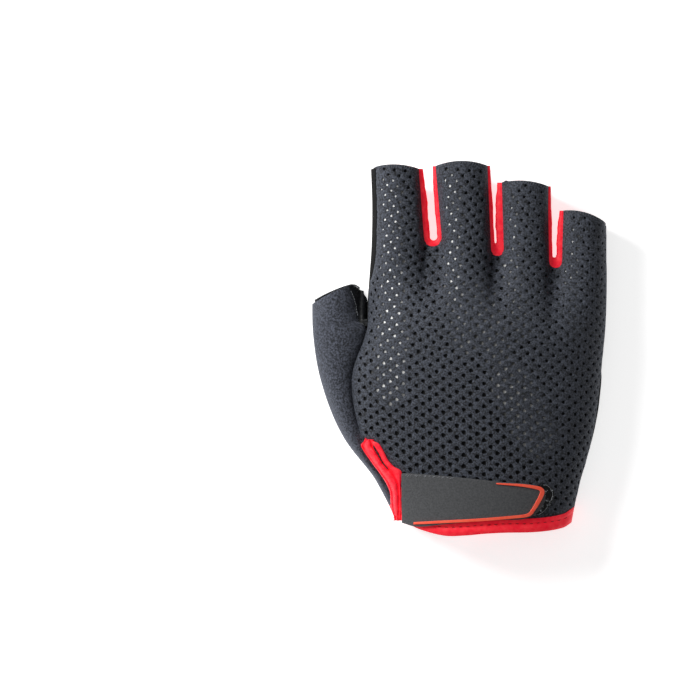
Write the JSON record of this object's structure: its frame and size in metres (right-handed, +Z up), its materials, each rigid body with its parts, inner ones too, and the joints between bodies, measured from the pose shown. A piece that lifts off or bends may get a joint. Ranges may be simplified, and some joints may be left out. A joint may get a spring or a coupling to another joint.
{
  "type": "short-finger cycling glove",
  "caption": "Right-hand short-finger cycling glove with a perforated back, padded leather palm, red finger gussets, wrist vent and closing strap, lying palm down.",
  "frame": {"origin": "on the surface that the glove lies on, under the middle of its box", "axes": "+Z up out of the back of the hand, +Y along the fingers, -X towards the thumb"},
  "size_m": [0.1152, 0.1457, 0.0313],
  "materials": {
    "perforated_cloth": "fine knit with round holes, matt",
    "embossed_leather": "black synthetic leather with a fine raised grain, semi-gloss",
    "suede": "dark grey brushed microsuede, matt",
    "red_stretch_cloth": "red elastane knit, slight sheen",
    "strap_cloth": "grey brushed loop cloth, matt",
    "hook_tape": "black hook tape with a pale welded edge",
    "stripe_ink": "raised orange-red silicone print, satin"
  },
  "bodies": {
    "root": {"back_panel": "perforated_cloth", "palm_panel": "embossed_leather", "thumb_panel": "suede", "thumb_facing": "embossed_leather", "gusset_index_middle": "red_stretch_cloth", "gusset_middle_ring": "red_stretch_cloth", "gusset_ring_little": "red_stretch_cloth", "wrist_binding": "red_stretch_cloth", "vent_binding": "red_stretch_cloth", "closure_strap": "strap_cloth", "strap_hook_tab": "hook_tape", "strap_stripe": "stripe_ink", "palm_overlay": "embossed_leather", "thumb_pad": "embossed_leather", "pull_tab_middle": "embossed_leather", "pull_tab_ring": "embossed_leather"}
  },
  "joints": []
}
